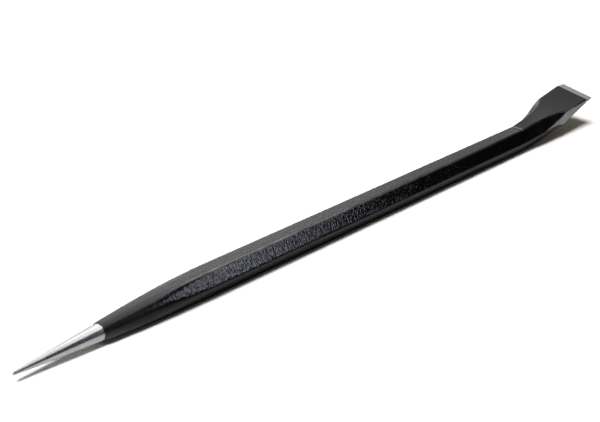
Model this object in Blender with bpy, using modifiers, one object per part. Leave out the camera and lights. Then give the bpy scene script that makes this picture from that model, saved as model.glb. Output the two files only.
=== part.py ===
"""Line-up pry bar, modelled as one steel forging and the black coat over it.

The forging is a length of hexagon steel. One end is turned to a long taper and a bare ground point. The other
end is forged up and out into a chisel blade, whose sides and cutting edge are ground bare.

Metres, +Z up. X runs along the bar from the point to the cutting edge. The origin is under the middle of the
bar, on the surface that the coated shank lies on.
"""

import math
from collections import namedtuple

import bmesh
import bpy
from mathutils import Matrix, Vector

MM = 0.001

# Driving dimensions.
BAR_LENGTH = 609.6 * MM
STEEL_FLATS = 19.05 * MM  # across the flats of the hexagon, bare steel
CORNER_RADIUS = 1.2 * MM  # along the hexagon's six corners
COAT_GAP = 0.3 * MM  # clearance that the two solids keep
COAT_SKIN = 0.3 * MM  # thickness of the coat itself

NOSE_RADIUS = 1.05 * MM  # the blunt end of the point
NOSE_FLAT_RADIUS = 0.63 * MM  # the flat at the very tip, inside the nose's chamfer
NOSE_CHAMFER = 0.42 * MM  # length of that chamfer along the bar
POINT_LENGTH = 66.0 * MM  # bare ground point, from the nose to the coat line
POINT_BASE_RADIUS = 6.1 * MM  # steel radius at the coat line
TAPER_LENGTH = 148.0 * MM  # from the nose to where the hexagon is whole
POINT_DROOP = math.radians(1.2)  # how far the taper's axis dips below the shank's
POINT_FULLNESS = 1.1  # 1 is a straight cone, more is rounder
TAPER_FULLNESS = 1.45  # the same for the coated taper behind the point

BLADE_LENGTH = 91.0 * MM  # from the crease on the top flat to the cutting edge
BLADE_WIDTH = 30.8 * MM  # between the ground sides
BLADE_RISE = math.radians(8.0)  # slope of the top flat past the crease
BLADE_TWIST = math.radians(11.5)  # turn about the bar's axis, reached at the cutting edge
TWIST_EASE = 1.5  # 1 turns evenly along the blade, more turns earlier
SIDE_GRIND_TWIST = math.radians(9.5)  # turn of the two ground sides
SIDE_GRIND_CENTRE = 0.8  # where along the blade the two ground sides are centred on it
SIDE_SPREAD = 5.6 * MM  # how far the forged sides would pass the ground ones
UNDER_SPREAD = 1.6 * MM  # the same for the underside's corners
TOP_SHORTFALL = 0.7 * MM  # how far the top flat's corners stay inside the ground sides
BEVEL_LENGTH = 8.8 * MM  # ground bevel on top, behind the cutting edge
EDGE_THICKNESS = 0.4 * MM  # the cutting edge itself

# Mesh fineness.
TURN_STEPS = 56
TAPER_POINTS = 9  # profile points along the point, and as many along the taper behind it
BLADE_RINGS = 26
CORNER_SEGMENTS = 3
MOST_CORNER_SHARE = 0.45  # of a section's side, that the rounding of one corner may take
SHARP_EDGE = math.radians(30)  # edges that turn more than this stay sharp in the shading

# Values that follow from the ones above.
COAT_DEPTH = COAT_GAP + COAT_SKIN
AXIS_HEIGHT = COAT_DEPTH + STEEL_FLATS / 2
NOSE_X = -BAR_LENGTH / 2
EDGE_X = BAR_LENGTH / 2
CREASE_X = EDGE_X - BLADE_LENGTH
TAPER_END_X = NOSE_X + TAPER_LENGTH
HALF_FLAT = STEEL_FLATS / (2 * math.sqrt(3))
CORNER_REACH = STEEL_FLATS / math.sqrt(3)
OVERSHOOT = 6 * MM  # how far blanks and cutters run past what they cut
CUTTER_SIDE = 80 * MM  # larger than any section of the bar

# The blade's forged form. Each row is a place along the blade, from 0 at the crease to 1 at the cutting edge,
# with how much of their spread the top, side and underside corners have reached there, the thickness as a
# share of the hexagon's, and how far up that thickness the side corners sit.
FormRow = namedtuple("FormRow", "along top side under thickness side_height")
BLADE_FORM = (
    FormRow(0.00, 0.00, 0.00, 0.00, 1.000, 0.50),
    FormRow(0.13, 0.01, 0.06, 0.02, 1.046, 0.54),
    FormRow(0.27, 0.13, 0.22, 0.15, 1.000, 0.57),
    FormRow(0.39, 0.31, 0.34, 0.33, 0.880, 0.60),
    FormRow(0.50, 0.59, 0.54, 0.55, 0.733, 0.64),
    FormRow(0.61, 1.00, 0.87, 0.88, 0.560, 0.68),
    FormRow(0.83, 1.00, 0.80, 1.00, 0.215, 0.55),
    FormRow(0.90, 1.00, 0.72, 1.00, 0.140, 0.50),
    FormRow(1.00, 1.00, 0.66, 1.00, 0.085, 0.50),
    FormRow(1.10, 1.00, 0.66, 1.00, 0.070, 0.50),
)


def clear_scene():
    """Removes every object of the startup scene."""
    for obj in list(bpy.data.objects):
        bpy.data.objects.remove(obj, do_unlink=True)


def add_collection(name):
    """A new collection in the scene."""
    collection = bpy.data.collections.new(name)
    bpy.context.scene.collection.children.link(collection)
    return collection


def add_object(name, mesh, collection):
    """A new object that shows the mesh."""
    obj = bpy.data.objects.new(name, mesh)
    collection.objects.link(obj)
    return obj


def as_helper(obj):
    """Marks an object as a cutter or guide, which is no part of the model."""
    obj.hide_render = True
    obj.display_type = "WIRE"
    return obj


def make_material(name, colour, roughness, metallic):
    """A Principled material."""
    material = bpy.data.materials.new(name)
    material.use_nodes = True
    shader = material.node_tree.nodes["Principled BSDF"]
    shader.inputs["Base Color"].default_value = (*colour, 1)
    shader.inputs["Roughness"].default_value = roughness
    shader.inputs["Metallic"].default_value = metallic
    return material


def eased(share, fullness):
    """Rises from 0 to 1, evenly at a fullness of 1 and ever earlier above it, like the side of an ogive."""
    return 1 - (1 - share) ** fullness


def steady_slopes(places, values):
    """Slopes for a smooth curve through the values that never overshoots them."""
    steps = [(values[i + 1] - values[i]) / (places[i + 1] - places[i]) for i in range(len(values) - 1)]
    slopes = [0.0]
    for before, after in zip(steps, steps[1:]):
        slopes.append(2 * before * after / (before + after) if before * after > 0 else 0.0)
    slopes.append(steps[-1])
    return slopes


def blade_form(along):
    """The forged form at a place along the blade, read from a smooth curve through BLADE_FORM."""
    if along <= 0:
        return BLADE_FORM[0]
    places = [row.along for row in BLADE_FORM]
    last = len(places) - 2
    at = min(last, max(i for i, place in enumerate(places) if place <= along))
    width = places[at + 1] - places[at]
    share = (along - places[at]) / width
    start, end = BLADE_FORM[at], BLADE_FORM[at + 1]
    form = [along]
    for field in FormRow._fields[1:]:
        slopes = steady_slopes(places, [getattr(row, field) for row in BLADE_FORM])
        low, high = getattr(start, field), getattr(end, field)
        bend_in, bend_out = slopes[at] * width, slopes[at + 1] * width
        form.append(
            low * (2 * share**3 - 3 * share**2 + 1)
            + bend_in * (share**3 - 2 * share**2 + share)
            + high * (3 * share**2 - 2 * share**3)
            + bend_out * (share**3 - share**2)
        )
    return FormRow(*form)


def blade_heights(along):
    """Heights of the steel's underside and top on the blade's middle line, before it is twisted."""
    top = COAT_DEPTH + STEEL_FLATS + max(0, along) * BLADE_LENGTH * math.tan(BLADE_RISE)
    return top - blade_form(along).thickness * STEEL_FLATS, top


def twisted(along, y, z):
    """The point (y, z) of the section at a place along the blade, turned by the blade's twist there."""
    bottom, top = blade_heights(along)
    middle = (bottom + top) / 2
    angle = BLADE_TWIST * eased(min(1, max(0, along)), TWIST_EASE)
    across = y * math.cos(angle) - (z - middle) * math.sin(angle)
    height = y * math.sin(angle) + (z - middle) * math.cos(angle)
    return Vector((CREASE_X + along * BLADE_LENGTH, across, middle + height))


def offset_outline(outline, distance):
    """The convex outline, listed anticlockwise, with every side moved out by the distance."""
    moved = []
    for before, here, after in zip(outline[-1:] + outline[:-1], outline, outline[1:] + outline[:1]):
        first = (here - before).normalized()
        second = (after - here).normalized()
        normals = Vector((first.y, -first.x)) + Vector((second.y, -second.x))
        moved.append(here + normals * distance / (1 + first.dot(second)))
    return moved


def round_corners(outline, radius):
    """The convex outline, listed anticlockwise, with an arc at each corner that leaves straights between."""
    rounded = []
    for before, here, after in zip(outline[-1:] + outline[:-1], outline, outline[1:] + outline[:1]):
        first = (here - before).normalized()
        second = (after - here).normalized()
        turn = math.acos(max(-1, min(1, first.dot(second))))
        room = MOST_CORNER_SHARE * min((here - before).length, (after - here).length)
        bend = min(radius, room / math.tan(turn / 2))
        inward = Vector((-first.y, first.x))
        centre = here - first * bend * math.tan(turn / 2) + inward * bend
        for i in range(CORNER_SEGMENTS + 1):
            angle = turn * i / CORNER_SEGMENTS
            rounded.append(centre - inward * bend * math.cos(angle) + first * bend * math.sin(angle))
    return rounded


def section(along, grow):
    """The bar's section, six rounded corners anticlockwise seen from the blade's end, grown by a distance."""
    form = blade_form(along)
    bottom, top = blade_heights(along)
    side_z = bottom + form.side_height * (top - bottom)
    top_y = HALF_FLAT + form.top * (BLADE_WIDTH / 2 - TOP_SHORTFALL - HALF_FLAT)
    side_y = CORNER_REACH + form.side * (BLADE_WIDTH / 2 + SIDE_SPREAD - CORNER_REACH)
    under_y = HALF_FLAT + form.under * (BLADE_WIDTH / 2 + UNDER_SPREAD - HALF_FLAT)
    far_half = ((top_y, top), (side_y, side_z), (under_y, bottom))
    near_half = ((-top_y, top), (-side_y, side_z), (-under_y, bottom))
    corners = (far_half[0], *near_half, far_half[2], far_half[1])
    outline = offset_outline([Vector(corner) for corner in corners], grow)
    return [twisted(along, point.x, point.y) for point in round_corners(outline, CORNER_RADIUS + grow)]


def loft(name, rings):
    """A closed mesh through rings of as many points each, all anticlockwise seen from the last ring's side."""
    mesh = bpy.data.meshes.new(name)
    model = bmesh.new()
    placed = [[model.verts.new(point) for point in ring] for ring in rings]
    for near, far in zip(placed, placed[1:]):
        for i, corner in enumerate(near):
            before = i - 1
            model.faces.new((near[before], corner, far[i], far[before]))
    model.faces.new(placed[0])
    model.faces.new(placed[-1])
    bmesh.ops.recalc_face_normals(model, faces=model.faces)
    model.to_mesh(mesh)
    model.free()
    return mesh


def add_boolean(obj, operation, other):
    """An exact Boolean modifier."""
    modifier = obj.modifiers.new(f"{operation.lower()} {other.name}", "BOOLEAN")
    modifier.operation = operation
    modifier.solver = "EXACT"
    modifier.object = other


def add_blank(name, grow, collection):
    """The forged blank, grown by a distance: the hexagon over the whole length with the blade at its end."""
    shank_start = (NOSE_X - OVERSHOOT - CREASE_X) / BLADE_LENGTH
    blade_end = 1 + OVERSHOOT / BLADE_LENGTH
    places = [shank_start] + [blade_end * i / BLADE_RINGS for i in range(BLADE_RINGS + 1)]
    return add_object(name, loft(name, [section(place, grow) for place in places]), collection)


def taper_profile(grow):
    """(distance from the nose, radius) along the point and the taper, grown by a distance."""
    profile = [(-grow, 0), (-grow, NOSE_FLAT_RADIUS + grow / 2), (NOSE_CHAMFER - grow / 2, NOSE_RADIUS + grow)]
    for i in range(1, TAPER_POINTS + 1):
        share = i / TAPER_POINTS
        radius = NOSE_RADIUS + (POINT_BASE_RADIUS - NOSE_RADIUS) * eased(share, POINT_FULLNESS)
        profile.append((POINT_LENGTH * share, radius + grow))
    for i in range(1, TAPER_POINTS + 1):
        share = i / TAPER_POINTS
        radius = POINT_BASE_RADIUS + (CORNER_REACH - POINT_BASE_RADIUS) * eased(share, TAPER_FULLNESS)
        profile.append((POINT_LENGTH + (TAPER_LENGTH - POINT_LENGTH) * share, radius + grow))
    return profile


def add_envelope(name, grow, collection):
    """A turned solid that holds the bar: the point and taper, then wide room for the shank and the blade."""
    profile = [(along - TAPER_LENGTH, radius) for along, radius in taper_profile(grow)]
    room_end = BAR_LENGTH - TAPER_LENGTH + 2 * OVERSHOOT
    profile += [(0, CUTTER_SIDE), (room_end, CUTTER_SIDE), (room_end, 0)]
    mesh = bpy.data.meshes.new(name)
    points = [(x, 0, radius) for x, radius in reversed(profile)]
    mesh.from_pydata(points, [(i, i + 1) for i in range(len(points) - 1)], [])
    envelope = add_object(name, mesh, collection)
    envelope.location = (TAPER_END_X, 0, AXIS_HEIGHT)
    envelope.rotation_euler = (0, -POINT_DROOP, 0)
    turning = envelope.modifiers.new("turned", "SCREW")
    turning.axis = "X"
    turning.steps = turning.render_steps = TURN_STEPS
    turning.use_merge_vertices = True
    turning.merge_threshold = 0.00001
    return as_helper(envelope)


def add_cutter(name, corner, x_axis, y_axis, collection):
    """A box whose lower face is centred on the corner point and spanned by the two axes.

    The box runs from the point along both ways of y_axis, along x_axis, and up.
    """
    mesh = bpy.data.meshes.new(name)
    model = bmesh.new()
    to_corner = Matrix.Translation((CUTTER_SIDE / 2, 0, CUTTER_SIDE / 2))
    bmesh.ops.create_cube(model, size=CUTTER_SIDE, matrix=to_corner)
    model.to_mesh(mesh)
    model.free()
    cutter = add_object(name, mesh, collection)
    x_axis = x_axis.normalized()
    z_axis = x_axis.cross(y_axis).normalized()
    y_axis = z_axis.cross(x_axis)
    cutter.matrix_world = Matrix.Translation(corner) @ Matrix((x_axis, y_axis, z_axis)).transposed().to_4x4()
    return as_helper(cutter)


def side_cutters(collection):
    """The two grinding planes along the blade's sides, each as a box outside its plane."""
    bottom, top = blade_heights(SIDE_GRIND_CENTRE)
    centre = Vector((0, 0, (bottom + top) / 2))
    across = Vector((0, math.cos(SIDE_GRIND_TWIST), math.sin(SIDE_GRIND_TWIST)))
    upward = Vector((0, -math.sin(SIDE_GRIND_TWIST), math.cos(SIDE_GRIND_TWIST)))
    cutters = []
    for name, side in (("far_side_grind", 1), ("near_side_grind", -1)):
        start = Vector((EDGE_X + 2 * OVERSHOOT - CUTTER_SIDE, 0, 0))
        corner = start + centre + across * side * BLADE_WIDTH / 2
        cutters.append(add_cutter(name, corner, Vector((1, 0, 0)), -side * upward, collection))
    return cutters


def bevel_cutter(collection):
    """The grinding plane of the bevel on top of the cutting edge, as the room above it."""
    heel_along = 1 - BEVEL_LENGTH / BLADE_LENGTH
    heel = twisted(heel_along, 0, blade_heights(heel_along)[1])
    edge = twisted(1, 0, blade_heights(1)[0] + EDGE_THICKNESS)
    across = twisted(1, 1, blade_heights(1)[0]) - twisted(1, 0, blade_heights(1)[0])
    run = (edge - heel).normalized()
    return add_cutter("bevel_grind", heel - run * OVERSHOOT, run, across, collection)


def end_cutter(name, x, collection):
    """Everything past a plane across the bar, as a box."""
    corner = Vector((x, 0, -OVERSHOOT))
    return add_cutter(name, corner, Vector((1, 0, 0)), Vector((0, 1, 0)), collection)


def coat_line_cutter(collection):
    """Everything on the point's side of the coat line, square to the drooping axis of the taper."""
    back = Vector((-math.cos(POINT_DROOP), 0, -math.sin(POINT_DROOP)))
    pivot = Vector((TAPER_END_X, 0, AXIS_HEIGHT))
    on_axis = pivot + back * (TAPER_LENGTH - POINT_LENGTH)
    across = Vector((0, -1, 0))
    downward = back.cross(across).normalized()
    return add_cutter("coat_line", on_axis - downward * CUTTER_SIDE / 2, back, across, collection)


def shade(obj):
    """Smooth shading that keeps the real edges sharp."""
    obj.data.shade_smooth()
    obj.data.set_sharp_from_angle(angle=SHARP_EDGE)


def add_steel_bar(parts, cutters, grinding):
    """The forging: the blank inside the turned taper, with its ground sides, bevel and cutting edge."""
    bar = add_blank("forged_steel_bar", 0, parts)
    add_boolean(bar, "INTERSECT", add_envelope("steel_taper", 0, cutters))
    for cutter in grinding:
        add_boolean(bar, "DIFFERENCE", cutter)
    add_boolean(bar, "DIFFERENCE", bevel_cutter(cutters))
    add_boolean(bar, "DIFFERENCE", end_cutter("edge_trim", EDGE_X, cutters))
    bar.data.materials.append(make_material("ground_steel", (0.60, 0.60, 0.58), 0.32, 1.0))
    shade(bar)
    return bar


def add_coat(parts, cutters, grinding):
    """The coat: an open sleeve over the steel, from the coat line to the bevel's heel."""
    coat = add_blank("black_coat", COAT_DEPTH, parts)
    add_boolean(coat, "INTERSECT", add_envelope("coat_taper", COAT_DEPTH, cutters))
    for cutter in grinding:
        add_boolean(coat, "DIFFERENCE", cutter)
    add_boolean(coat, "DIFFERENCE", end_cutter("heel_trim", EDGE_X - BEVEL_LENGTH, cutters))
    add_boolean(coat, "DIFFERENCE", coat_line_cutter(cutters))
    room = as_helper(add_blank("room_for_steel", COAT_GAP, cutters))
    add_boolean(room, "INTERSECT", add_envelope("room_taper", COAT_GAP, cutters))
    add_boolean(coat, "DIFFERENCE", room)
    coat.data.materials.append(make_material("black_wrinkle_coat", (0.022, 0.023, 0.022), 0.42, 0.0))
    shade(coat)
    return coat


def main():
    """Builds the pry bar."""
    clear_scene()
    parts = add_collection("line_up_pry_bar")
    cutters = add_collection("cutters")
    grinding = side_cutters(cutters)
    add_steel_bar(parts, cutters, grinding)
    add_coat(parts, cutters, grinding)


main()
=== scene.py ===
"""Line-up pry bar: a ground steel forging and the black wrinkle coat baked over it, in plain studio light.

The forging and the coat are lofted from sections of the same bar form, a ring every fraction of a millimetre,
so the coat lies on the steel without a gap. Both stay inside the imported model's box.
"""

import logging
import math
from dataclasses import dataclass
from enum import Enum, IntEnum
from functools import lru_cache
from typing import NamedTuple

import bpy
from mathutils import Matrix, Vector


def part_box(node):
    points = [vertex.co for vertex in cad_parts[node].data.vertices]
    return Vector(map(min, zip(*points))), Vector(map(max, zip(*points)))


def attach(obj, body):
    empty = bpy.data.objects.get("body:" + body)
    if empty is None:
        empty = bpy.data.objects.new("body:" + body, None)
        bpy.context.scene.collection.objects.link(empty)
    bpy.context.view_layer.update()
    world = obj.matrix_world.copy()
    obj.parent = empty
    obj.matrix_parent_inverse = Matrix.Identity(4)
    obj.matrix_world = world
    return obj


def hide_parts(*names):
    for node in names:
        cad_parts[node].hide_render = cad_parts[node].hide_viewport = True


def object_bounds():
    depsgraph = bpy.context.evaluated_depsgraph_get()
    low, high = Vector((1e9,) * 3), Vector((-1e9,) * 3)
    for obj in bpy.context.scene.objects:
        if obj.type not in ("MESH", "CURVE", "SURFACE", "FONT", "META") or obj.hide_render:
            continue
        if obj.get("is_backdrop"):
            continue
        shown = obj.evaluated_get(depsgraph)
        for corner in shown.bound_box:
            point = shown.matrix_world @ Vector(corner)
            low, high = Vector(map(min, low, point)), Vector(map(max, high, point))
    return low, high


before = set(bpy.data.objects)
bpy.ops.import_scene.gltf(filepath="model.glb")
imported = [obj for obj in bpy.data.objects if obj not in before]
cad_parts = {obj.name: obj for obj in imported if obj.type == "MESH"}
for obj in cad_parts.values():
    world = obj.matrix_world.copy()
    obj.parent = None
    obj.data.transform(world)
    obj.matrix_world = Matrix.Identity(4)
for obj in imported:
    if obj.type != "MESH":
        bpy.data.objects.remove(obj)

Tree, Socket = bpy.types.NodeTree, bpy.types.NodeSocket
Triple = tuple[float, float, float]

MM = 0.001
NOISE_MIDDLE = 0.5  # a noise texture's middle value
WIDEST_BLEND = 30.0  # this many widths of a blend away from it, nothing is left of it
LOG = logging.getLogger("pry_bar")


class FormRow(NamedTuple):
    """The blade's forged form at one place along it.

    Args:
        along: Place along the blade, 0 at the crease and 1 at the cutting edge.
        top: Share of its spread that the top flat's corners have reached.
        side: The same for the side corners.
        under: The same for the underside's corners.
        thickness: Thickness as a share of the hexagon's.
        side_height: How far up that thickness the side corners sit.
    """

    along: float
    top: float
    side: float
    under: float
    thickness: float
    side_height: float


BLADE_FORM: tuple[FormRow, ...] = (
    FormRow(0.00, 0.00, 0.00, 0.00, 1.000, 0.50),
    FormRow(0.13, 0.01, 0.06, 0.02, 1.046, 0.54),
    FormRow(0.27, 0.13, 0.22, 0.15, 1.000, 0.57),
    FormRow(0.39, 0.31, 0.34, 0.33, 0.880, 0.60),
    FormRow(0.50, 0.59, 0.54, 0.55, 0.733, 0.64),
    FormRow(0.61, 1.00, 0.87, 0.88, 0.560, 0.68),
    FormRow(0.83, 1.00, 0.80, 1.00, 0.215, 0.55),
    FormRow(0.90, 1.00, 0.72, 1.00, 0.140, 0.50),
    FormRow(1.00, 1.00, 0.66, 1.00, 0.085, 0.50),
    FormRow(1.10, 1.00, 0.66, 1.00, 0.070, 0.50),
)


class GrindDirection(Enum):
    """Which way the scratches of a grinding wheel run on a bare face."""

    ROUND_THE_BAR = "round"
    HEEL_TO_EDGE = "heel_to_edge"
    ALONG_THE_BLADE = "along"


class Bare(IntEnum):
    """A bare part of the forging, as the number of its finish."""

    POINT = 0
    SIDES = 1
    BEVEL = 2


class Side(Enum):
    """A side of the blade, as the sign of its Y."""

    FAR = 1
    NEAR = -1


def linear_colour(hex_code: str) -> tuple[float, float, float, float]:
    """Converts an sRGB hex colour to linear values.

    Args:
        hex_code: Six hex digits after a hash sign.

    Returns:
        Red, green, blue and an alpha of 1.
    """
    shares = [int(hex_code[i : i + 2], 16) / 255 for i in (1, 3, 5)]
    red, green, blue = (s / 12.92 if s <= 0.04045 else ((s + 0.055) / 1.055) ** 2.4 for s in shares)
    return red, green, blue, 1.0


def feed(tree: Tree, node: bpy.types.Node, inputs: dict) -> None:
    """Sets a node's inputs.

    Args:
        tree: The node tree.
        node: The node.
        inputs: Input name or number to a plain value, or to the output socket that feeds it.
    """
    for key, value in inputs.items():
        if isinstance(value, Socket):
            tree.links.new(value, node.inputs[key])
        else:
            node.inputs[key].default_value = value


def add_node(tree: Tree, kind: str, inputs: dict | None = None, **settings: object) -> bpy.types.Node:
    """Adds a node with its settings, input values and links.

    Args:
        tree: The node tree.
        kind: The node's type.
        inputs: What feed() takes.
        **settings: Attributes of the node.

    Returns:
        The new node.
    """
    node = tree.nodes.new(kind)
    for name, value in settings.items():
        setattr(node, name, value)
    feed(tree, node, inputs or {})
    return node


def compute(tree: Tree, operation: str, *values: object) -> Socket:
    """Adds a math node and gives its result."""
    return add_node(tree, "ShaderNodeMath", dict(enumerate(values)), operation=operation).outputs[0]


def ramp(
    tree: Tree, value: Socket, start: float, end: float, low: object = 0.0, high: object = 1.0, **settings: str
) -> Socket:
    """Takes a value from start to end to a range from low to high, held at both, and gives the result."""
    inputs = {"Value": value, "From Min": start, "From Max": end, "To Min": low, "To Max": high}
    return add_node(tree, "ShaderNodeMapRange", inputs, **settings).outputs[0]


def noise(
    tree: Tree, place: Socket, scale: float, detail: float = 2.0, roughness: float = 0.5
) -> bpy.types.Node:
    """Adds a noise texture read at a place; its first output is the plain value."""
    inputs = {"Vector": place, "Scale": scale, "Detail": detail, "Roughness": roughness}
    return add_node(tree, "ShaderNodeTexNoise", inputs)


def stretch(tree: Tree, place: Socket, scale: Triple, turn: Triple = (0.0, 0.0, 0.0)) -> Socket:
    """Turns a place and scales it along each axis, and gives the result."""
    inputs = {"Vector": place, "Rotation": turn, "Scale": scale}
    return add_node(tree, "ShaderNodeMapping", inputs).outputs[0]


def mix_colours(tree: Tree, share: object, first: object, second: object) -> Socket:
    """Mixes two colours by a share of the second and gives the result."""
    return add_node(tree, "ShaderNodeMix", {0: share, 6: first, 7: second}, data_type="RGBA").outputs[2]


def mix_values(tree: Tree, share: object, first: object, second: object) -> Socket:
    """Mixes two values by a share of the second and gives the result."""
    return add_node(tree, "ShaderNodeMix", {0: share, 2: first, 3: second}, data_type="FLOAT").outputs[0]


def start_material(name: str) -> tuple[bpy.types.Material, Tree, bpy.types.Node]:
    """Starts a material and gives it with its node tree and its Principled shader."""
    made = bpy.data.materials.new(name)
    made.use_nodes = True
    return made, made.node_tree, made.node_tree.nodes["Principled BSDF"]


def with_neighbours(points: list[Vector]) -> zip:
    """Goes round a closed outline, and gives each point between the one before and the one after."""
    return zip(points[-1:] + points[:-1], points, points[1:] + points[:1])


def ease(share: float) -> float:
    """Rises smoothly from 0 to 1 while the share does, and stays there outside."""
    held = max(0.0, min(1.0, share))
    return held * held * (3 - 2 * held)


@dataclass(frozen=True)
class Ring:
    """One section of a lofted surface.

    Attributes:
        upper: Points over the top, from the far side to the near side.
        lower: Points along the underside, from the near side back to the far side.
        ground: The sides where a grinding plane has cut the section open.
    """

    upper: list[Vector]
    lower: list[Vector]
    ground: frozenset[Side]


@dataclass(frozen=True)
class BarForm:
    """Sizes of the bar and the sections that follow from them. Metres and radians."""

    nose_x: float
    edge_x: float
    floor_z: float
    steel_flats: float = 19.05 * MM
    corner_radius: float = 1.2 * MM
    most_corner_share: float = 0.45  # of a section's side, that the rounding of one corner may take
    coat_depth: float = 0.6 * MM
    nose_radius: float = 1.05 * MM
    point_length: float = 66.0 * MM
    point_base_radius: float = 6.1 * MM
    taper_length: float = 148.0 * MM
    point_droop: float = math.radians(1.2)
    point_fullness: float = 1.1
    taper_fullness: float = 1.45
    taper_blend: float = 0.5 * MM  # softness of the line where the hexagon's flats run out into the round taper
    blade_length: float = 91.0 * MM
    blade_width: float = 30.8 * MM
    blade_rise: float = math.radians(8.0)
    crease_ridge: float = 0.40 * MM  # height of the ridge that the forging die left across the crease
    crease_half_width: float = 1.1 * MM
    ridge_fade_columns: int = 3  # columns beside each corner over which the ridge dies out
    blade_twist: float = math.radians(11.5)
    twist_ease: float = 1.5
    side_grind_twist: float = math.radians(9.5)
    side_grind_centre: float = 0.8
    side_spread: float = 5.6 * MM
    under_spread: float = 1.6 * MM
    top_shortfall: float = 0.7 * MM
    bevel_length: float = 8.8 * MM
    edge_thickness: float = 0.4 * MM
    side_columns: int = 15
    flat_columns: int = 24
    arc_steps: int = 8
    least_side: float = 2.5 * MM  # shortest run of side columns beside a ground face

    @property
    def axis_z(self) -> float:
        """Height of the shank's axis."""
        return self.floor_z + self.coat_depth + self.steel_flats / 2

    @property
    def crease_x(self) -> float:
        """Where the top flat starts to rise."""
        return self.edge_x - self.blade_length

    @property
    def coat_line_x(self) -> float:
        """Where the bare point ends and the coat starts."""
        return self.nose_x + self.point_length

    @property
    def heel_x(self) -> float:
        """Where the coat ends and the ground bevel starts."""
        return self.edge_x - self.bevel_length

    def station(self, along: float) -> FormRow:
        """Reads the forged form at a place along the blade from a smooth curve through BLADE_FORM."""
        if along <= 0:
            return BLADE_FORM[0]
        places = [row.along for row in BLADE_FORM]
        at = min(len(places) - 2, max(i for i, place in enumerate(places) if place <= along))
        width = places[at + 1] - places[at]
        share = (along - places[at]) / width
        values = [along]
        for name in FormRow._fields[1:]:
            slopes = self.steady_slopes(name)
            low, high = getattr(BLADE_FORM[at], name), getattr(BLADE_FORM[at + 1], name)
            values.append(
                low * (2 * share**3 - 3 * share**2 + 1)
                + slopes[at] * width * (share**3 - 2 * share**2 + share)
                + high * (3 * share**2 - 2 * share**3)
                + slopes[at + 1] * width * (share**3 - share**2)
            )
        return FormRow(*values)

    @staticmethod
    @lru_cache
    def steady_slopes(name: str) -> list[float]:
        """Gives the slopes of a smooth curve through one column of BLADE_FORM, with no overshoot."""
        places, values = [row.along for row in BLADE_FORM], [getattr(row, name) for row in BLADE_FORM]
        gaps = range(len(values) - 1)
        steps = [(values[i + 1] - values[i]) / (places[i + 1] - places[i]) for i in gaps]
        slopes = [0.0]
        for before, after in zip(steps, steps[1:]):
            slopes.append(2 * before * after / (before + after) if before * after > 0 else 0.0)
        return [*slopes, steps[-1]]

    def heights(self, along: float) -> tuple[float, float]:
        """Gives the heights of the steel's underside and top on the blade's middle line, before its twist."""
        rise = max(0.0, along) * self.blade_length * math.tan(self.blade_rise)
        top = self.axis_z + self.steel_flats / 2 + rise
        return top - self.station(along).thickness * self.steel_flats, top

    def twist_at(self, along: float) -> float:
        """Gives the blade's turn about the bar at a place along it."""
        return self.blade_twist * (1 - (1 - max(0.0, min(1.0, along))) ** self.twist_ease)

    def outline(self, x: float, grow: float) -> list[Vector]:
        """Gives the section's outline, anticlockwise seen from the blade's end, with an arc at each corner.

        Args:
            x: Place along the bar.
            grow: How far the outline lies outside the steel.

        Returns:
            Points (y, z); each corner's arc holds arc_steps + 1 of them, the far top corner's first.
        """
        along = (x - self.crease_x) / self.blade_length
        form = self.station(along)
        bottom, top = self.heights(along)
        half_flat, reach = self.steel_flats / (2 * math.sqrt(3)), self.steel_flats / math.sqrt(3)
        half_width = self.blade_width / 2
        side_z = bottom + form.side_height * (top - bottom)
        top_y = half_flat + form.top * (half_width - self.top_shortfall - half_flat)
        side_y = reach + form.side * (half_width + self.side_spread - reach)
        under_y = half_flat + form.under * (half_width + self.under_spread - half_flat)
        corners = [
            Vector(corner)
            for corner in (
                (top_y, top), (-top_y, top), (-side_y, side_z),
                (-under_y, bottom), (under_y, bottom), (side_y, side_z),
            )
        ]
        rounded = self.round_corners(self.offset_outline(corners, grow), self.corner_radius + grow)
        turn, middle = Matrix.Rotation(self.twist_at(along), 2), Vector((0, (bottom + top) / 2))
        return [middle + turn @ (point - middle) for point in rounded]

    @staticmethod
    def offset_outline(outline: list[Vector], distance: float) -> list[Vector]:
        """Moves every side of a convex anticlockwise outline out by the distance."""
        moved = []
        for before, here, after in with_neighbours(outline):
            first, second = (here - before).normalized(), (after - here).normalized()
            normals = Vector((first.y, -first.x)) + Vector((second.y, -second.x))
            moved.append(here + normals * distance / (1 + first.dot(second)))
        return moved

    def round_corners(self, outline: list[Vector], radius: float) -> list[Vector]:
        """Puts an arc at each corner of a convex anticlockwise outline, as far as its sides have room."""
        rounded = []
        for before, here, after in with_neighbours(outline):
            first, second = (here - before).normalized(), (after - here).normalized()
            turn = math.acos(max(-1, min(1, first.dot(second))))
            room = self.most_corner_share * min((here - before).length, (after - here).length)
            bend = min(radius, room / math.tan(turn / 2))
            inward = Vector((-first.y, first.x))
            centre = here - first * bend * math.tan(turn / 2) + inward * bend
            for i in range(self.arc_steps + 1):
                angle = turn * i / self.arc_steps
                rounded.append(centre - inward * bend * math.cos(angle) + first * bend * math.sin(angle))
        return rounded

    def turned_radius(self, x: float) -> float:
        """Gives the radius of the turned point and taper at a place along the bar, without limit past them."""
        from_nose = x - self.nose_x
        if from_nose < self.nose_radius:
            return math.sqrt(max(0.0, self.nose_radius**2 - (self.nose_radius - from_nose) ** 2))
        if from_nose <= self.point_length:
            share = from_nose / self.point_length
            grown = 1 - (1 - share) ** self.point_fullness
            return self.nose_radius + (self.point_base_radius - self.nose_radius) * grown
        share = (from_nose - self.point_length) / (self.taper_length - self.point_length)
        if share >= 1:
            return math.inf
        reach = self.steel_flats / math.sqrt(3)
        grown = 1 - (1 - share) ** self.taper_fullness
        return self.point_base_radius + (reach - self.point_base_radius) * grown

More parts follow.
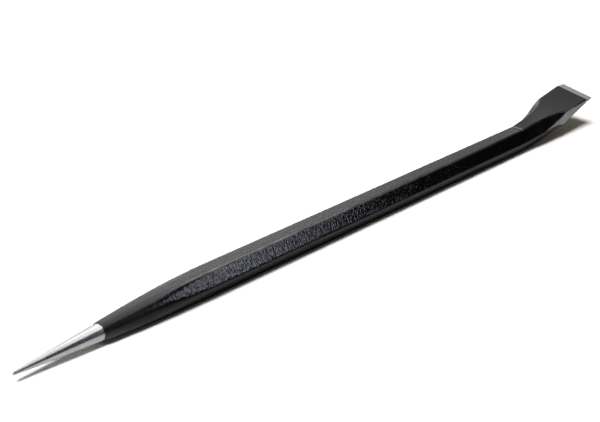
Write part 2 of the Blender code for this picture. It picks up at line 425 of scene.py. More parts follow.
    def turn_down(self, points: list[Vector], x: float, grow: float) -> list[Vector]:
        """Holds the points of a section inside the turned point and taper."""
        radius = self.turned_radius(x) + grow
        if math.isinf(radius):
            return points
        taper_end_x = self.nose_x + self.taper_length
        centre = Vector((0, self.axis_z - (taper_end_x - x) * math.tan(self.point_droop)))
        turned = []
        for point in points:
            arm = point - centre
            gap = (arm.length - radius) / self.taper_blend
            over = self.taper_blend * (gap if gap > WIDEST_BLEND else math.log1p(math.exp(gap)))
            turned.append(centre + arm.normalized() * min(arm.length - over, radius))
        return turned

    def grind_distance(self, side: Side, point: Vector) -> float:
        """Gives how far a section's point (y, z) lies outside the grinding plane of a side."""
        bottom, top = self.heights(self.side_grind_centre)
        across = Vector((math.cos(self.side_grind_twist), math.sin(self.side_grind_twist)))
        return side.value * (point - Vector((0, (bottom + top) / 2))).dot(across) - self.blade_width / 2

    def cut(self, outline: list[Vector], side: Side, step: int) -> tuple[float, bool]:
        """Finds where an outline leaves the grinding plane of a side.

        Args:
            outline: The section's outline.
            side: The side of the blade.
            step: 1 to walk anticlockwise from the side's outermost point, -1 to walk clockwise.

        Returns:
            The place as a point number with a fraction, and whether the plane cuts the outline at all.
        """
        distances = [self.grind_distance(side, point) for point in outline]
        at = max(range(len(outline)), key=distances.__getitem__)
        if distances[at] <= 0:
            return float(at), False
        count = len(outline)
        while distances[(at + step) % count] > 0:
            at += step
        here, there = distances[at % count], distances[(at + step) % count]
        return at + step * here / (here - there), True

    @staticmethod
    def walk(outline: list[Vector], start: float, end: float, anchors: list[float], counts: list[int],
             least: float) -> list[Vector]:
        """Spaces points evenly along an outline between anchors.

        Args:
            outline: The closed outline.
            start: First place, as a point number with a fraction.
            end: Last place, further on.
            anchors: Places in between that get a point, such as corners.
            counts: How many steps each stretch between anchors gets.
            least: Least length of the first and the last stretch.

        Returns:
            The points, with one at each end.
        """
        def place(number: float) -> Vector:
            """Gives the outline's point at a point number with a fraction."""
            low = math.floor(number)
            return outline[low % len(outline)].lerp(outline[(low + 1) % len(outline)], number - low)

        numbers = [start, *range(math.floor(start) + 1, math.ceil(end)), end]
        path = [place(number) for number in numbers]
        lengths = [0.0]
        for before, after in zip(path, path[1:]):
            lengths.append(lengths[-1] + (after - before).length)
        total = lengths[-1]
        stops = [0.0]
        for anchor in anchors:
            passed = [i for i, number in enumerate(numbers) if number <= anchor]
            reached = lengths[passed[-1]] if passed else 0.0
            stops.append(max(least, min(total - least, reached)))
        stops.append(total)
        wanted = [0.0]
        for before, after, count in zip(stops, stops[1:], counts):
            wanted += [before + (after - before) * (i + 1) / count for i in range(count)]
        points, at = [], 0
        for length in wanted:
            while at < len(lengths) - 2 and lengths[at + 1] < length:
                at += 1
            run = lengths[at + 1] - lengths[at]
            points.append(path[at].lerp(path[at + 1], min(1.0, (length - lengths[at]) / run) if run else 0.0))
        return points

    def ring(self, x: float, grow: float) -> Ring:
        """Gives the ring of a lofted surface at a place along the bar.

        Args:
            x: Place along the bar.
            grow: How far the surface lies outside the steel.

        Returns:
            The ring, in the bar's own frame.
        """
        outline = self.outline(x, grow)
        corner = [i * (self.arc_steps + 1) + self.arc_steps / 2 for i in range(6)]
        count = len(outline)
        far_top, far_cut = self.cut(outline, Side.FAR, 1)
        near_top, near_cut = self.cut(outline, Side.NEAR, -1)
        near_low, _ = self.cut(outline, Side.NEAR, 1)
        far_low, _ = self.cut(outline, Side.FAR, -1)
        far_top = far_top - count if far_top > corner[1] else far_top
        counts = [self.side_columns, self.flat_columns, self.side_columns]
        upper = self.walk(outline, far_top, near_top, [corner[0], corner[1]], counts, self.least_side)
        far_low = far_low + count if far_low < corner[3] else far_low
        lower = self.walk(outline, near_low, far_low, [corner[3], corner[4]], counts, self.least_side)
        first, last = self.side_columns, self.side_columns + self.flat_columns
        ridge = self.crease_ridge * math.exp(-(((x - self.crease_x) / self.crease_half_width) ** 2))
        placed = []
        for points in (upper, lower):
            turned = self.turn_down(points, x, grow)
            placed.append([Vector((x, point.x, point.y)) for point in turned])
        for i in range(first, last + 1):
            placed[0][i].z += ridge * ease(min(i - first, last - i) / self.ridge_fade_columns)
        cuts = frozenset(side for side, is_cut in ((Side.FAR, far_cut), (Side.NEAR, near_cut)) if is_cut)
        return Ring(placed[0], placed[1], cuts)

    def bevel_height(self, x: float, y: float) -> float:
        """Gives the height of the bevel's grinding plane, which slopes from the heel to the cutting edge."""
        heel_along = 1 - self.bevel_length / self.blade_length
        heel_z, (edge_bottom, _) = self.heights(heel_along)[1], self.heights(1)
        share = (x - self.heel_x) / self.bevel_length
        level = heel_z + share * (edge_bottom + self.edge_thickness - heel_z)
        return level + y * math.tan(self.blade_twist)


class RingNet:
    """Vertices and faces of a surface lofted through rings, some of them open along the ground sides."""

    def __init__(self) -> None:
        """Starts with nothing."""
        self.points: list[Vector] = []
        self.faces: list[tuple[int, ...]] = []
        self.finishes: list[int] = []

    def place(self, ring: Ring, opened: frozenset[Side]) -> tuple[list[int], list[int]]:
        """Adds a ring's points; where a side isn't opened, the upper and lower runs share their end point.

        Args:
            ring: The ring.
            opened: The sides along which the surface is open here.

        Returns:
            Point numbers of the upper run and of the lower run.
        """
        start = len(self.points)
        upper = list(range(start, start + len(ring.upper)))
        self.points += ring.upper
        lower = list(range(start + len(upper), start + len(upper) + len(ring.lower)))
        self.points += ring.lower
        if Side.NEAR not in opened:
            lower[0] = upper[-1]
        if Side.FAR not in opened:
            lower[-1] = upper[0]
        return upper, lower

    def face(self, corners: list[int], finish: int = 0) -> None:
        """Adds a face, without the corners that repeat."""
        kept = [corner for i, corner in enumerate(corners) if corner != corners[i - 1]]
        if len(set(kept)) > 2:
            self.faces.append(tuple(kept))
            self.finishes.append(finish)

    def span(self, near: list[int], far: list[int], finish: int = 0, flip: bool = False) -> None:
        """Adds the faces between two runs of as many points each."""
        for i in range(len(near) - 1):
            corners = [near[i], near[i + 1], far[i + 1], far[i]]
            self.face(corners[::-1] if flip else corners, finish)

    def mesh(self, name: str) -> bpy.types.Mesh:
        """Makes a mesh of it, without the points that no face uses."""
        used = sorted({corner for face in self.faces for corner in face})
        number = {corner: i for i, corner in enumerate(used)}
        mesh = bpy.data.meshes.new(name)
        mesh.from_pydata([self.points[i] for i in used], [], [[number[c] for c in face] for face in self.faces])
        mesh.polygons.foreach_set("material_index", self.finishes)
        mesh.update()
        return mesh


@dataclass(frozen=True)
class GroundSteel:
    """Carbon steel ground bare on a wheel or belt: a grey metal with fine parallel scratches.

    The scratches catch the light one by one, so a highlight breaks up across them, and the tone drifts where
    the wheel pressed harder.
    """

    name: str
    direction: GrindDirection
    bright: str
    dull: str
    roughness: float
    scratch_pitch: float  # distance between scratches, coarser than the real grit so that they show
    scratch_depth: float
    scratch_length: float = 28.0  # how many pitches long a scratch is
    round_length: float = 2.0  # how much longer it is where it runs round the bar
    face_tilt: float = 3.0  # how much longer it looks across the bar on the blade's tilted sides
    scratch_detail: float = 3.0
    scratch_sharpness: float = 0.7
    scratch_range: tuple[float, float] = (0.3, 0.7)
    tone_range: tuple[float, float] = (0.7, 1.3)  # of the scratches and the drift together
    roughness_swing: float = 0.07
    drift_pitch: float = 9.0 * MM

    def material(self) -> bpy.types.Material:
        """Makes the material."""
        made, tree, shader = start_material(self.name)
        fine, long = 1 / self.scratch_pitch, 1 / (self.scratch_length * self.scratch_pitch)
        scale = {
            GrindDirection.ROUND_THE_BAR: (fine, long / self.round_length, long / self.round_length),
            GrindDirection.HEEL_TO_EDGE: (long, fine, long),
            GrindDirection.ALONG_THE_BLADE: (long, fine / self.face_tilt, fine),
        }[self.direction]
        place = add_node(tree, "ShaderNodeTexCoord").outputs["Object"]
        stretched = stretch(tree, place, scale)
        scratches = noise(tree, stretched, 1.0, self.scratch_detail, self.scratch_sharpness).outputs[0]
        drift = noise(tree, place, 1 / self.drift_pitch).outputs[0]
        tone = ramp(tree, compute(tree, "ADD", scratches, drift), *self.tone_range)
        colour = mix_colours(tree, tone, linear_colour(self.dull), linear_colour(self.bright))
        smoothest, roughest = self.roughness - self.roughness_swing, self.roughness + self.roughness_swing
        rough = ramp(tree, scratches, *self.scratch_range, roughest, smoothest)
        bump = add_node(
            tree, "ShaderNodeBump", {"Height": scratches, "Strength": 1.0, "Distance": self.scratch_depth}
        )
        feed(
            tree, shader,
            {"Metallic": 1.0, "Base Color": colour, "Roughness": rough, "Normal": bump.outputs[0]},
        )
        return made


@dataclass(frozen=True)
class WrinkleCoat:
    """Baked black wrinkle paint: a dark glossy skin with a leather-like grain that runs across the bar.

    The grain's small crests break up what the skin mirrors. It flattens on the blade, and on the thin end of
    the taper it gives way to a satin skin. Where the mesh marks it, the coat is painted a lighter grey and is a
    little rougher: along the hexagon's top corners this is handling wear and a painted highlight, and across
    the crease a painted highlight only. A few scuffs show all over.
    """

    black: str = "#060606"
    # painted highlight: lighter grey on the top corners, where it also stands for handling wear, and across the
    # crease
    wear_and_highlight_grey: str = "#a6a8aa"
    scuff_grey: str = "#6c6d6b"
    ior: float = 1.52
    roughness: float = 0.08
    wear_and_highlight_roughness: float = 0.10
    wear_and_highlight_full: float = 0.6  # share of the wear and painted highlight mark at which the coat is as rough as it gets there
    patchiness: float = 0.16  # how much roughness the patches add
    patch_pitch: float = 14.0 * MM
    patch_detail: float = 3.0
    grain_pitch: float = 1.25 * MM
    grain_stretch: float = 2.0  # how much longer a grain is across the bar than along it
    grain_depth: float = 0.27 * MM
    grain_detail: float = 1.0
    sway_rate: float = 0.12  # how often the grain sways aside, as a share of how often it repeats
    sway_reach: float = 0.8 * MM
    speckle_pitch: float = 0.3 * MM
    speckle_share: float = 0.08
    taper_span: tuple[float, float] = (-0.215, -0.165)  # where the satin skin turns into the grained one
    least_grain: float = 0.25
    satin_gain: float = 0.17  # how much rougher the satin skin is
    blade_span: tuple[float, float] = (0.19, 0.235)  # where the grain flattens
    blade_grain: float = 0.5
    scuff_spacing: float = 7.0 * MM
    scuff_turn: Triple = (0.3, 0.2, 0.5)
    scuff_rates: Triple = (0.4, 5.0, 5.0)
    scuff_range: tuple[float, float] = (0.735, 0.78)
    scuff_cover: float = 0.5

    def relief(self, tree: Tree, place: Socket, along_bar: Socket) -> Socket:
        """Makes the grain.

        Args:
            tree: The material's node tree.
            place: The place on the object.
            along_bar: The place's X.

        Returns:
            The normal that the grain gives.
        """
        along, across = 1 / self.grain_pitch, 1 / (self.grain_pitch * self.grain_stretch)
        sway = noise(tree, place, self.sway_rate * along, self.grain_detail).outputs["Color"]
        swayed = add_node(
            tree, "ShaderNodeVectorMath", {0: sway, 1: (self.sway_reach,) * 3, 2: place},
            operation="MULTIPLY_ADD",
        )
        stretched = stretch(tree, swayed.outputs[0], (along, across, across))
        grain = noise(tree, stretched, 1.0, self.grain_detail).outputs[0]
        speckle = noise(tree, place, 1 / self.speckle_pitch).outputs[0]
        height = compute(tree, "MULTIPLY_ADD", speckle, self.speckle_share, grain)
        on_taper = ramp(tree, along_bar, *self.taper_span, self.least_grain, 1.0)
        on_blade = ramp(tree, along_bar, *self.blade_span, 1.0, self.blade_grain)
        strength = compute(tree, "MINIMUM", on_taper, on_blade)
        return add_node(
            tree, "ShaderNodeBump", {"Height": height, "Strength": strength, "Distance": self.grain_depth}
        ).outputs[0]

    def material(self) -> bpy.types.Material:
        """Makes the material."""
        made, tree, shader = start_material("black_wrinkle_paint")
        place = add_node(tree, "ShaderNodeTexCoord").outputs["Object"]
        along_bar = add_node(tree, "ShaderNodeSeparateXYZ", {0: place}).outputs["X"]
        patches = noise(tree, place, 1 / self.patch_pitch, self.patch_detail).outputs[0]
        # painted highlight: the mesh's mark mixes the black towards a lighter grey on the top corners, partly
        # as handling wear, and across the crease
        wear_and_highlight = add_node(tree, "ShaderNodeAttribute", attribute_type="GEOMETRY", attribute_name="wear_and_highlight")
        wear_and_highlight_share = compute(tree, "MULTIPLY", wear_and_highlight.outputs["Fac"], patches)
        greyed = mix_colours(tree, wear_and_highlight_share, linear_colour(self.black), linear_colour(self.wear_and_highlight_grey))
        rates = tuple(rate / self.scuff_spacing for rate in self.scuff_rates)
        streaks = noise(tree, stretch(tree, place, rates, self.scuff_turn), 1.0).outputs[0]
        scuffs = ramp(tree, streaks, *self.scuff_range, 0.0, self.scuff_cover)
        colour = mix_colours(tree, scuffs, greyed, linear_colour(self.scuff_grey))
        rough = ramp(tree, wear_and_highlight_share, 0.0, self.wear_and_highlight_full, self.roughness, self.wear_and_highlight_roughness)
        uneven = compute(tree, "MULTIPLY_ADD", patches, self.patchiness, rough)
        satin = ramp(tree, along_bar, *self.taper_span, self.satin_gain, 0.0)
        feed(
            tree, shader,
            {
                "IOR": self.ior,
                "Base Color": colour,
                "Roughness": compute(tree, "ADD", uneven, satin),
                "Normal": self.relief(tree, place, along_bar),
            },
        )
        return made


def show(name: str, data: bpy.types.ID) -> bpy.types.Object:
    """Adds an object that holds a mesh, a lamp or a camera."""
    obj = bpy.data.objects.new(name, data)
    bpy.context.scene.collection.objects.link(obj)
    return obj


def shade(mesh: bpy.types.Mesh, sharp_over: float) -> None:
    """Shades a mesh smooth, but for the edges that turn more than an angle in degrees."""
    mesh.shade_smooth()
    mesh.set_sharp_from_angle(angle=math.radians(sharp_over))


@dataclass
class GroundForging:
    """The steel forging: the bare point, the shank under the coat, and the blade's ground sides and bevel."""

    form: BarForm
    point_step: float = 0.7 * MM
    covered_step: float = 5.0 * MM
    blade_step: float = 0.6 * MM
    blade_reach: float = 56.0 * MM  # how far back from the edge the fine rings start
    nose_rings: int = 8
    level_slack: float = 0.001 * MM  # a point this little under the bevel's plane still lies on it
    sharp_over: float = 30.0
    point_finish: GroundSteel = GroundSteel(
        "ground_steel_point", GrindDirection.ROUND_THE_BAR, bright="#cacbcb", dull="#bbbdbf",
        roughness=0.29, scratch_pitch=0.45 * MM, scratch_depth=0.003 * MM,
    )
    side_finish: GroundSteel = GroundSteel(
        "ground_steel_sides", GrindDirection.ALONG_THE_BLADE, bright="#cccdd0", dull="#a2a3a6",
        roughness=0.36, scratch_pitch=0.4 * MM, scratch_depth=0.012 * MM,
    )
    bevel_finish: GroundSteel = GroundSteel(
        "ground_steel_bevel", GrindDirection.HEEL_TO_EDGE, bright="#cbccc4", dull="#b6b8b0",
        roughness=0.36, scratch_pitch=0.4 * MM, scratch_depth=0.006 * MM,
    )

    def places(self) -> list[float]:
        """Gives the rings' places along the bar, close together only where the steel is bare."""
        form = self.form
        angles = [math.pi / 2 * i / self.nose_rings for i in range(1, self.nose_rings)]
        nose = [form.nose_x + form.nose_radius * (1 - math.cos(angle)) for angle in angles]
        stretches = (
            (form.nose_x + form.nose_radius, form.coat_line_x + form.coat_depth, self.point_step),
            (form.coat_line_x + form.coat_depth, form.edge_x - self.blade_reach, self.covered_step),
            (form.edge_x - self.blade_reach, form.heel_x, self.blade_step),
            (form.heel_x, form.edge_x, self.blade_step),
        )
        places = nose
        for start, end, step in stretches:
            count = math.ceil((end - start) / step)
            places += [start + (end - start) * i / count for i in range(count)]
        return [*places, form.edge_x]

    def grind_bevel(self, ring: Ring, x: float) -> list[bool]:
        """Lowers a ring's top to the bevel's plane and says which of its points lie on the bevel."""
        on_bevel = []
        for point in ring.upper:
            level = self.form.bevel_height(x, point.y)
            on_bevel.append(x >= self.form.heel_x and point.z >= level - self.level_slack)
            if on_bevel[-1]:
                point.z = level
        return on_bevel

    def build(self) -> bpy.types.Object:
        """Builds the forging's mesh and dresses each ground face in its own finish.

        Returns:
            The finished piece.
        """
        net = RingNet()
        before = None
        bare_to_x = self.form.coat_line_x + 2 * self.form.coat_depth
        for x in self.places():
            ring = self.form.ring(x, 0.0)
            on_bevel = self.grind_bevel(ring, x)
            upper, lower = net.place(ring, ring.ground)
            if before is None:
                middle_z = sum(point.z for point in ring.upper) / len(ring.upper)
                net.points.append(Vector((self.form.nose_x, 0, middle_z)))
                around = [*upper, *lower[1:]]
                for first, second in zip(around, around[1:]):
                    net.face([len(net.points) - 1, second, first])
            else:
                finish = Bare.POINT if x <= bare_to_x else Bare.SIDES
                for i in range(len(upper) - 1):
                    ground = on_bevel[i] and on_bevel[i + 1] and x > self.form.heel_x
                    corners = [upper[i], upper[i + 1], before[0][i + 1], before[0][i]]
                    net.face(corners, Bare.BEVEL if ground else finish)
                net.span(before[1], lower, finish, flip=True)
                net.face([before[0][-1], upper[-1], lower[0], before[1][0]], Bare.SIDES)
                net.face([before[1][-1], lower[-1], upper[0], before[0][0]], Bare.SIDES)
            before = (upper, lower)
        net.face([*before[0], *before[1]], Bare.BEVEL)
        mesh = net.mesh("ground_forging")
        for finish in (self.point_finish, self.side_finish, self.bevel_finish):
            mesh.materials.append(finish.material())
        shade(mesh, self.sharp_over)
        return show("ground_forging", mesh)


@dataclass
class WrinkleSleeve:
    """The coat: a sleeve on the steel from the coat line to the bevel's heel, open along the ground sides."""

    form: BarForm
    finish: WrinkleCoat = WrinkleCoat()
    ring_step: float = 0.72 * MM
    rings_per_inner: int = 6  # the hidden inner wall has one ring for this many of the outer
    clearance: float = 0.01 * MM  # between the inner wall and the steel
    rim_fade: float = 1.4 * MM  # the relief dies out this far from the sleeve's rims
    relief_pitch: float = 2.3 * MM
    relief_depth: float = 0.12 * MM
    relief_seed: float = 4.0
    corner_mark_columns: float = 2.2  # columns beside a corner that get the lighter grey of handling wear and a painted highlight
    # half width of the painted highlight, a lighter grey band, across the crease on the top flat
    crease_highlight_width: float = 1.4 * MM
    corner_mark_from: float = 0.7  # share of the taper's length where the corners' wear and painted highlight start
    corner_mark_rise: float = 0.4  # share of that length over which it grows to its full amount
    relief_detail: float = 1.5
    sharp_over: float = 50.0

    def places(self) -> list[float]:
        """Gives the outer rings' places, in whole blocks of one inner ring each."""
        length = self.form.heel_x - self.form.coat_line_x
        blocks = round(length / (self.ring_step * self.rings_per_inner))
        count = blocks * self.rings_per_inner
        return [self.form.coat_line_x + length * i / count for i in range(count + 1)]

    def base_mesh(self) -> bpy.types.Mesh:
        """Builds the smooth sleeve, with attributes for how far the relief and the wear reach."""
        places, block = self.places(), self.rings_per_inner
        outer = [self.form.ring(x, self.form.coat_depth) for x in places]
        first_cut = {
            side: next(i for i, ring in enumerate(outer) if side in ring.ground) // block * block
            for side in Side
        }
        opened = [frozenset(side for side in Side if i > first_cut[side]) for i in range(len(outer))]
        net = RingNet()
        rows = [net.place(ring, sides) for ring, sides in zip(outer, opened)]
        outer_count = len(net.points)
        for near, far in zip(rows, rows[1:]):
            net.span(near[0], far[0], flip=True)
            net.span(near[1], far[1], flip=True)
        numbers = range(0, len(places), block)
        inner = {i: net.place(self.form.ring(places[i], self.clearance), opened[i]) for i in numbers}
        for near, far in zip(numbers, numbers[1:]):
            net.span(inner[near][0], inner[far][0])
            net.span(inner[near][1], inner[far][1])
            between = range(near, far + 1)
            ends = {
                Side.NEAR: ((0, -1, False), (1, 0, True)),
                Side.FAR: ((0, 0, True), (1, -1, False)),
            }
            for side, runs in ends.items():
                if side not in opened[far]:
                    continue
                for run, end, flip in runs:
                    rim = [rows[i][run][end] for i in between] + [inner[far][run][end], inner[near][run][end]]
                    net.face(rim if flip else rim[::-1])
        for i, flip in ((0, False), (len(places) - 1, True)):
            for run in (0, 1):
                net.span(rows[i][run], inner[i][run], flip=not flip)
        return self.mark(net, outer_count)

    def mark(self, net: RingNet, outer_count: int) -> bpy.types.Mesh:
        """Makes the sleeve's mesh with its "cover" attribute and the attribute that marks the corners' wear and
        painted highlight and the crease's painted highlight.

        Args:
            net: The sleeve's points and faces.
            outer_count: How many of the points lie on the outer wall.

        Returns:
            The mesh.
        """
        form = self.form
        run = 2 * form.side_columns + form.flat_columns + 1
        corners = (form.side_columns, form.side_columns + form.flat_columns)
        cover, wear_and_highlight = [], []
        for i, point in enumerate(net.points):
            in_run = i % run
            on_top = i // run % 2 == 0
            to_corner = min(abs(in_run - corner) for corner in corners)
            flat = Vector((point.y, point.z))
            to_rim = min(
                point.x - form.coat_line_x, form.heel_x - point.x,
                *(-form.grind_distance(side, flat) for side in Side),
            )
            cover.append(ease(to_rim / self.rim_fade) if i < outer_count else 0.0)
            from_nose = (point.x - form.nose_x) / form.taper_length
            on_hexagon = ease((from_nose - self.corner_mark_from) / self.corner_mark_rise)
            past_taper = point.x - form.nose_x - form.taper_length
            wear_and_highlight_share = 1 - ease(past_taper / (form.crease_x - form.coat_line_x))
            # the top corners get the lighter grey as handling wear and as a painted highlight
            along_corner = ease(1 - to_corner / self.corner_mark_columns) * on_hexagon * wear_and_highlight_share * on_top
            across_flat = on_top and corners[0] <= in_run <= corners[1]
            # painted highlight across the crease: the top flat gets the lighter grey here
            on_crease = ease(1 - abs(point.x - form.crease_x) / self.crease_highlight_width) * across_flat
            wear_and_highlight.append(max(along_corner, on_crease))
        used = sorted({corner for face in net.faces for corner in face})
        mesh = net.mesh("wrinkle_sleeve")
        for name, values in (("cover", cover), ("wear_and_highlight", wear_and_highlight)):
            layer = mesh.attributes.new(name, "FLOAT", "POINT")
            layer.data.foreach_set("value", [values[i] for i in used])
        return mesh

    def relief_tree(self, paint: bpy.types.Material) -> bpy.types.GeometryNodeTree:
        """Makes the node group that raises the coat's coarse wrinkle out of the smooth sleeve.

        Args:
            paint: The material that the group sets.

        Returns:
            The node group, with inputs for the wrinkle's pitch, depth, stretch and seed.
        """
        tree = bpy.data.node_groups.new("wrinkle_relief", "GeometryNodeTree")
        tree.interface.new_socket("Geometry", in_out="INPUT", socket_type="NodeSocketGeometry")
        for name in ("Wrinkle Pitch", "Wrinkle Depth", "Stretch", "Seed"):
            tree.interface.new_socket(name, in_out="INPUT", socket_type="NodeSocketFloat")
        tree.interface.new_socket("Geometry", in_out="OUTPUT", socket_type="NodeSocketGeometry")
        given = add_node(tree, "NodeGroupInput").outputs
        rate = compute(tree, "DIVIDE", 1.0, given["Wrinkle Pitch"])
        slow = compute(tree, "DIVIDE", rate, given["Stretch"])
        scale = add_node(tree, "ShaderNodeCombineXYZ", {0: rate, 1: slow, 2: slow}).outputs[0]
        position = add_node(tree, "GeometryNodeInputPosition").outputs[0]
        place = add_node(tree, "ShaderNodeVectorMath", {0: position, 1: scale}, operation="MULTIPLY")
        wrinkle = add_node(
            tree, "ShaderNodeTexNoise",
            {"Vector": place.outputs[0], "W": given["Seed"], "Scale": 1.0, "Detail": self.relief_detail},
            noise_dimensions="4D",
        )
        centred = compute(tree, "SUBTRACT", wrinkle.outputs[0], NOISE_MIDDLE)
        deep = compute(tree, "MULTIPLY", centred, given["Wrinkle Depth"])
        cover = add_node(tree, "GeometryNodeInputNamedAttribute", {"Name": "cover"}, data_type="FLOAT")
        raised = compute(tree, "MULTIPLY", deep, cover.outputs["Attribute"])
        normal = add_node(tree, "GeometryNodeInputNormal").outputs[0]
        offset = add_node(tree, "ShaderNodeVectorMath", {0: normal, "Scale": raised}, operation="SCALE")
        moved = add_node(
            tree, "GeometryNodeSetPosition", {"Geometry": given["Geometry"], "Offset": offset.outputs[0]}
        )
        real = add_node(tree, "GeometryNodeRealizeInstances", {"Geometry": moved.outputs[0]})
        painted = add_node(tree, "GeometryNodeSetMaterial", {"Geometry": real.outputs[0], "Material": paint})
        add_node(tree, "NodeGroupOutput", {"Geometry": painted.outputs[0]})
        return tree

    def build(self) -> bpy.types.Object:
        """Builds the sleeve, raises its wrinkle and paints it.

        Returns:
            The finished piece.
        """
        sleeve = show("wrinkle_sleeve", self.base_mesh())
        tree = self.relief_tree(self.finish.material())
        relief = sleeve.modifiers.new("wrinkle_relief", "NODES")
        relief.node_group = tree
        sizes = {
            "Wrinkle Pitch": self.relief_pitch,
            "Wrinkle Depth": self.relief_depth,
            "Stretch": self.finish.grain_stretch,
            "Seed": self.relief_seed,
        }
        for socket in tree.interface.items_tree:
            if socket.in_out == "INPUT" and socket.name in sizes:
                relief[socket.identifier] = sizes[socket.name]
        graph = bpy.context.evaluated_depsgraph_get()
        raised = bpy.data.meshes.new_from_object(
            sleeve.evaluated_get(graph), preserve_all_data_layers=True, depsgraph=graph
        )
        sleeve.modifiers.clear()
        sleeve.data = raised
        shade(raised, self.sharp_over)
        return sleeve


@dataclass(frozen=True)
class Softbox:
    """A rectangular lamp that shows in reflections and lights nothing. Metres; radiance 1 shows as white."""

    name: str
    place: Triple
    aim: Triple
    width: float
    height: float
    radiance: float
    tint: str = "#ffffff"

    def build(self) -> None:
        """Adds the lamp."""
        lamp = bpy.data.lights.new(self.name, "AREA")
        lamp.shape = "RECTANGLE"
        lamp.size, lamp.size_y = self.width, self.height
        lamp.color = linear_colour(self.tint)[:3]
        lamp.energy = self.radiance * math.pi * self.width * self.height
        holder = show(self.name, lamp)
        holder.location = self.place
        holder.rotation_mode = "QUATERNION"
        holder.rotation_quaternion = (Vector(self.aim) - Vector(self.place)).to_track_quat("-Z", "Y")
        holder.visible_camera = False
        holder.visible_diffuse = False


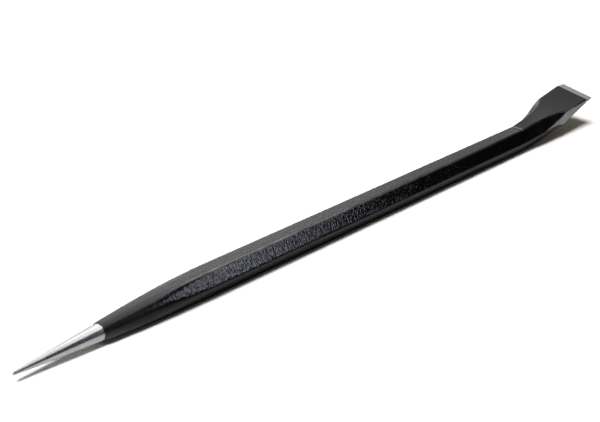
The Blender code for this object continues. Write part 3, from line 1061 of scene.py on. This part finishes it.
@dataclass(frozen=True)
class Studio:
    """The floor, the lamps, the surroundings and the camera."""

    floor_z: float
    floor_half: float = 3.0
    floor_white: float = 0.82
    floor_shown_white: float = 1.3  # as the camera sees it, so that the page stays white round the shadow
    floor_near: float = 0.05  # within this distance of the bar the floor isn't dimmed
    floor_far: float = 0.18
    # painted shade: the floor's level far off, for all but the camera, which the point and the coat mirror
    floor_far_white: float = 0.14
    floor_shade_grey: float = 0.40  # painted shade: the floor's level beside the coat, for all but the camera, which the bar's lower faces mirror
    white_to_x: float = -0.24  # the floor is white beside the bare point
    grey_from_x: float = -0.20  # and grey from here on
    softboxes: tuple[Softbox, ...] = (
        Softbox("overhead", (0.36, 0.14, 0.90), (0.36, 0.14, 0.0), width=0.68, height=1.40, radiance=1.9),
        Softbox(
            "side_window", (0.345, -0.62, 0.33), (0.345, 0.0, 0.05), width=0.17, height=0.15, radiance=7.2,
            tint="#e9ecff",
        ),
        Softbox("end_panel", (1.20, 0.45, 0.60), (0.30, 0.0, 0.03), width=0.36, height=1.0, radiance=0.5),
    )
    key_way: Triple = (-0.43, -0.155, 0.885)  # from the bar towards the main lamp
    key_strength: float = 2.9
    key_spread: float = math.radians(22.0)
    backdrop_way: Triple = (-0.45, 0.89, 0.0)
    backdrop_radiance: float = 1.85
    backdrop_spread: float = 0.36  # cosine to backdrop_way at which it has its full radiance
    backdrop_loss: float = 0.75  # share of its radiance that is gone straight up
    backdrop_foot: float = 0.25  # its share of radiance at the horizon, and how far up that reaches
    backdrop_foot_top: float = 0.24
    room_radiance: float = 0.008
    fill_tint: str = "#fff4e2"
    fill_radiance: float = 0.08  # what the surroundings add to matt surfaces
    heading: float = math.radians(46.24)  # from +Y towards +X
    dip: float = math.radians(23.88)
    roll: float = math.radians(-0.67)
    distance: float = 0.9946
    shift_right: float = 0.0380  # how far right of the view's centre the bar's middle lies
    shift_down: float = 0.0123
    lens_mm: float = 79.43
    clip: tuple[float, float] = (0.01, 20.0)

    def build(self) -> None:
        """Builds the studio."""
        self.lay_floor()
        for softbox in self.softboxes:
            softbox.build()
        self.hang_key()
        self.surround()
        self.set_camera()
        bpy.context.scene.view_settings.view_transform = "Standard"

    def lay_floor(self) -> None:
        """Lays a white floor, which for everything but the camera is grey beside the coat and far off, as
        painted shade that the bar mirrors.
        """
        half = self.floor_half
        mesh = bpy.data.meshes.new("studio_floor")
        corners = [(x * half, y * half, self.floor_z) for x, y in ((-1, -1), (1, -1), (1, 1), (-1, 1))]
        mesh.from_pydata(corners, [], [(0, 1, 2, 3)])
        floor = show("studio_floor", mesh)
        floor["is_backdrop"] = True
        white = bpy.data.materials.new("studio_floor_paper")
        white.use_nodes = True
        tree = white.node_tree
        tree.nodes.clear()
        place = add_node(tree, "ShaderNodeTexCoord")
        parts = add_node(tree, "ShaderNodeSeparateXYZ", {0: place.outputs["Object"]})
        aside = compute(tree, "ABSOLUTE", parts.outputs["Y"])
        # painted shade in the floor's colour for all but the camera: grey beside the coat and dimmer far off
        beside = ramp(
            tree, parts.outputs["X"], self.white_to_x, self.grey_from_x, self.floor_white, self.floor_shade_grey,
            interpolation_type="SMOOTHSTEP",
        )
        fade = ramp(
            tree, aside, self.floor_near, self.floor_far, beside, self.floor_far_white,
            interpolation_type="SMOOTHSTEP",
        )
        seen = add_node(tree, "ShaderNodeLightPath").outputs["Is Camera Ray"]
        level = mix_values(tree, seen, fade, self.floor_shown_white)
        colour = add_node(tree, "ShaderNodeCombineColor", {0: level, 1: level, 2: level})
        paper = add_node(tree, "ShaderNodeBsdfDiffuse", {"Color": colour.outputs[0]})
        add_node(tree, "ShaderNodeOutputMaterial", {"Surface": paper.outputs[0]})
        mesh.materials.append(white)

    def hang_key(self) -> None:
        """Hangs the main lamp, which is far off, so that it lights the whole floor alike."""
        lamp = bpy.data.lights.new("main_key", "SUN")
        lamp.energy, lamp.angle = self.key_strength, self.key_spread
        holder = show("main_key", lamp)
        holder.rotation_mode = "QUATERNION"
        holder.rotation_quaternion = Vector(self.key_way).to_track_quat("Z", "Y")

    def surround(self) -> None:
        """Surrounds the bar with a pale backdrop behind and a dim room in front; the camera sees white."""
        world = bpy.data.worlds.new("studio_room")
        bpy.context.scene.world = world
        world.use_nodes = True
        tree = world.node_tree
        tree.nodes.clear()
        way = add_node(tree, "ShaderNodeTexCoord").outputs["Generated"]
        facing = add_node(
            tree, "ShaderNodeVectorMath", {0: way, 1: Vector(self.backdrop_way).normalized()},
            operation="DOT_PRODUCT",
        )
        light = ramp(
            tree, facing.outputs["Value"], 0.0, self.backdrop_spread, self.room_radiance, self.backdrop_radiance
        )
        up = add_node(tree, "ShaderNodeSeparateXYZ", {0: way}).outputs["Z"]
        high = ramp(tree, up, 0.0, 1.0, 1.0, 1 - self.backdrop_loss)
        low = ramp(tree, up, 0.0, self.backdrop_foot_top, self.backdrop_foot, 1.0)
        mirrored = compute(tree, "MULTIPLY", light, compute(tree, "MULTIPLY", low, high))
        ray = add_node(tree, "ShaderNodeLightPath").outputs
        unseen = mix_values(tree, ray["Is Glossy Ray"], self.fill_radiance, mirrored)
        strength = mix_values(tree, ray["Is Camera Ray"], unseen, 1.0)
        white, fill = linear_colour("#ffffff"), linear_colour(self.fill_tint)
        tint = mix_colours(tree, ray["Is Diffuse Ray"], white, fill)
        air = add_node(tree, "ShaderNodeBackground", {"Color": tint, "Strength": strength})
        add_node(tree, "ShaderNodeOutputWorld", {"Surface": air.outputs[0]})

    def set_camera(self) -> None:
        """Sets the camera up at the bar's left front, looking down along it."""
        camera = show("camera", bpy.data.cameras.new("camera"))
        camera.data.lens = self.lens_mm
        turn = (
            Matrix.Rotation(-self.heading, 4, "Z")
            @ Matrix.Rotation(math.pi / 2 - self.dip, 4, "X")
            @ Matrix.Rotation(self.roll, 4, "Z")
        )
        bar_middle = Vector((0, 0, self.floor_z))
        from_bar = Vector((-self.shift_right, self.shift_down, self.distance))
        camera.matrix_world = Matrix.Translation(bar_middle + turn.to_3x3() @ from_bar) @ turn
        camera.data.clip_start, camera.data.clip_end = self.clip
        bpy.context.scene.camera = camera


def main() -> None:
    """Builds the bar's two pieces and the studio round them."""
    logging.basicConfig(level=logging.INFO, format="%(name)s: %(message)s")
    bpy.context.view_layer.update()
    low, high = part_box("forged_steel_bar")
    form = BarForm(nose_x=low.x, edge_x=high.x, floor_z=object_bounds()[0].z)
    Studio(form.floor_z).build()
    for maker, node, slot in (
        (GroundForging(form), "forged_steel_bar", "ground_steel"),
        (WrinkleSleeve(form), "black_coat", "black_wrinkle_coat"),
    ):
        piece = maker.build()
        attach(piece, "root")
        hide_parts(node)
        LOG.info("%s: %d faces, stands for %s", piece.name, len(piece.data.polygons), node)


if __name__ == "__main__":
    main()
